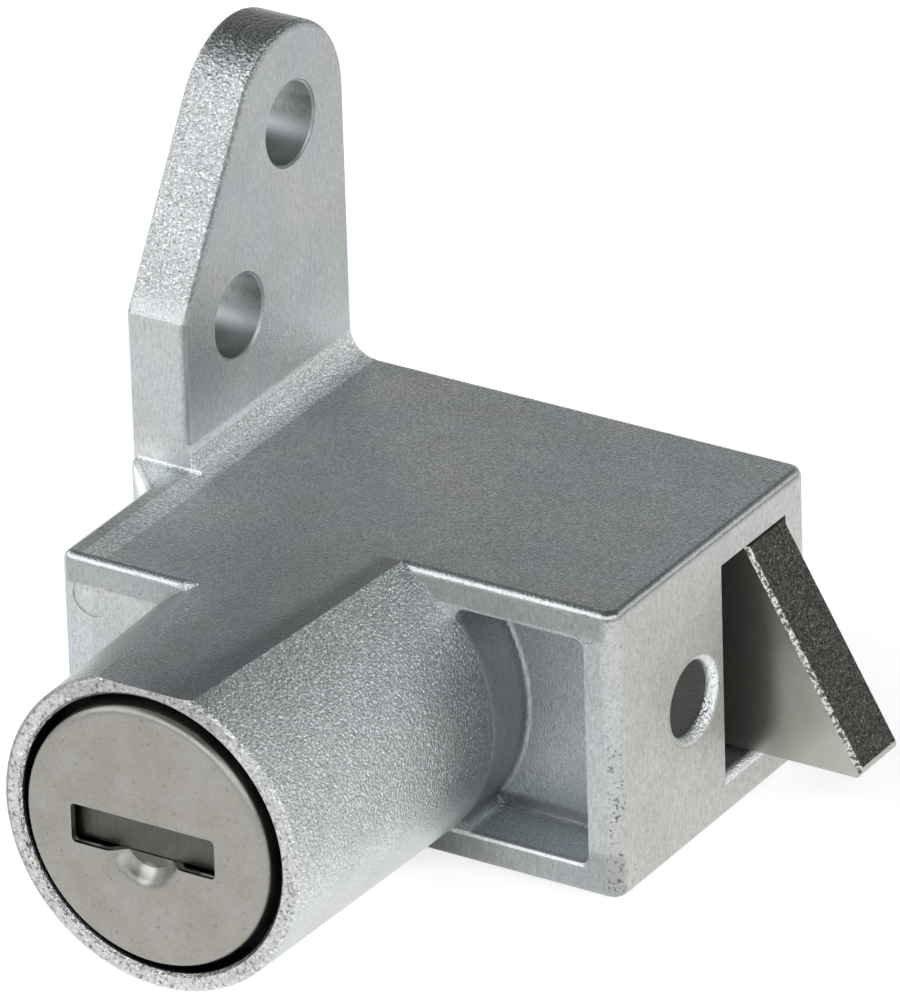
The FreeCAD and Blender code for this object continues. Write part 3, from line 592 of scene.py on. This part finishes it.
def dress():
    """Gives each piece the finish that its record names."""
    finishes = {
        "zinc_casting": zinc(),
        "cap_steel": cap_steel(),
        "shutter_steel": shutter_steel(),
        "bolt_steel": nickel(),
        "pin_steel": plain_metal("pin_steel", (0.075, 0.075, 0.07), 0.42, 0.14, 0.12),
        "plug_brass": plug_brass(),
        "wafer_brass": plain_metal("wafer_brass", (0.64, 0.5, 0.26)),
        "spring_steel": plain_metal("spring_steel", (0.45, 0.45, 0.45)),
    }
    for part in frame["record"]["subparts"]:
        for slot in frame["nodes"][part["node"]].material_slots:
            slot.material = finishes[part["material_slot"]]


def flexing_spring(node):
    """A copy of the spring, its placement baked into its mesh, shown in place of the hidden node."""
    source = frame["nodes"][node]
    spring = bpy.data.objects.new(f"{node}_flexing", source.data.copy())
    bpy.context.scene.collection.objects.link(spring)
    bpy.context.view_layer.update()
    spring.matrix_world = source.matrix_world
    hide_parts(node)
    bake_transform(spring)


def floor():
    """A pale floor, white to the eye and to the metal, that keeps the shadow."""
    half = 4.0
    glow_level = 0.6
    glow_from, glow_to = 0.13, 0.4
    low = Vector(cad_box[0])
    middle = (low + Vector(cad_box[1])) / 2
    mesh = bpy.data.meshes.new("floor")
    corners = [(-half, -half), (half, -half), (half, half), (-half, half)]
    mesh.from_pydata([(middle.x + x, middle.y + y, low.z) for x, y in corners], [], [(0, 1, 2, 3)])
    plane = bpy.data.objects.new("floor", mesh)
    bpy.context.scene.collection.objects.link(plane)
    material = bpy.data.materials.new("floor")
    material.use_nodes = True
    n = Net(material.node_tree)
    ray = n.add("ShaderNodeLightPath").outputs
    seen = n.plus(ray["Is Camera Ray"], ray["Is Glossy Ray"], ray["Is Transmission Ray"])
    diffuse = n.add("ShaderNodeBsdfDiffuse")
    diffuse.inputs["Color"].default_value = (0.8, 0.8, 0.8, 1.0)
    glow = n.add("ShaderNodeEmission")
    away = n.vector("LENGTH", n.add("ShaderNodeTexCoord").outputs["Object"])
    strength = n.times(n.math("MINIMUM", seen, 1.0), n.step(away, glow_from, glow_to, glow_level, 0.0))
    n.put(strength, glow.inputs["Strength"])
    glow.inputs["Color"].default_value = (1.0, 0.99, 0.97, 1.0)
    both = n.add("ShaderNodeAddShader")
    n.put(diffuse.outputs[0], both.inputs[0])
    n.put(glow.outputs[0], both.inputs[1])
    out = n.add("ShaderNodeOutputMaterial")
    n.put(both.outputs[0], out.inputs["Surface"])
    mesh.materials.append(material)


def world():
    """A studio dim overhead and brighter low down: a strip in front, a panel and a dark card behind."""
    scene_world = bpy.data.worlds.new("studio")
    scene_world.use_nodes = True
    bpy.context.scene.world = scene_world
    n = Net(scene_world.node_tree)
    direction = n.vector("NORMALIZE", n.add("ShaderNodeTexCoord").outputs["Generated"])
    x, y, z = n.split(direction)
    from_front = n.math("ARCTAN2", n.times(x, -1.0), n.times(y, -1.0))
    from_back = n.math("ARCTAN2", x, y)

    def lobe(turn, first, last, low, high, turn_soft, height_soft):
        """1 between two angles in degrees round the part and between two heights in the sky."""
        round_part = n.between(turn, math.radians(first), math.radians(last), turn_soft)
        return n.times(round_part, n.between(z, low, high, height_soft))

    strip = lobe(from_front, -100, 100, 0.3, 0.77, 0.1, 0.03)
    panel = lobe(from_back, 22, 60, 0.22, 0.56, 0.15, 0.06)
    dark_card = lobe(from_back, 25, 70, -0.03, 0.15, 0.15, 0.08)
    sky = n.times(n.step(z, 0.15, 0.8, 0.6, 0.05), n.mix(dark_card, 1.0, 0.35))
    level = n.plus(sky, n.times(strip, 1.6), n.times(panel, 0.7))
    back = n.add("ShaderNodeBackground")
    n.put(n.blend(n.step(z, 0.0, 0.6), (1.0, 1.0, 0.99), (0.94, 1.0, 1.04)), back.inputs["Color"])
    n.put(level, back.inputs["Strength"])
    out = n.add("ShaderNodeOutputWorld")
    n.put(back.outputs[0], out.inputs["Surface"])


def camera():
    """The camera at the photograph's angle."""
    azimuth = math.radians(32.5405)
    elevation = math.radians(27.128)
    roll = math.radians(-1.829)
    target = Vector((18.787, -5.924, -3.450)) * MM
    distance = 584.93 * MM
    across = math.cos(elevation)
    back = Vector((math.sin(azimuth) * across, -math.cos(azimuth) * across, math.sin(elevation)))
    right = Vector((math.cos(azimuth), math.sin(azimuth), 0.0))
    up = back.cross(right)
    side = math.cos(roll) * right + math.sin(roll) * up
    top = -math.sin(roll) * right + math.cos(roll) * up
    data = bpy.data.cameras.new("camera")
    data.lens = 447.14
    data.clip_start = 0.01
    data.clip_end = 50.0
    eye = bpy.data.objects.new("camera", data)
    bpy.context.scene.collection.objects.link(eye)
    matrix = eye.matrix_world.copy()
    for column, axis in enumerate((side, top, back)):
        for row in range(3):
            matrix[row][column] = axis[row]
    matrix.translation = target + back * distance
    eye.matrix_world = matrix
    bpy.context.scene.camera = eye


dress()
flexing_spring("bolt_spring")
flexing_spring("shutter_spring")
floor()
world()
camera()
bpy.context.scene.view_settings.view_transform = "Standard"
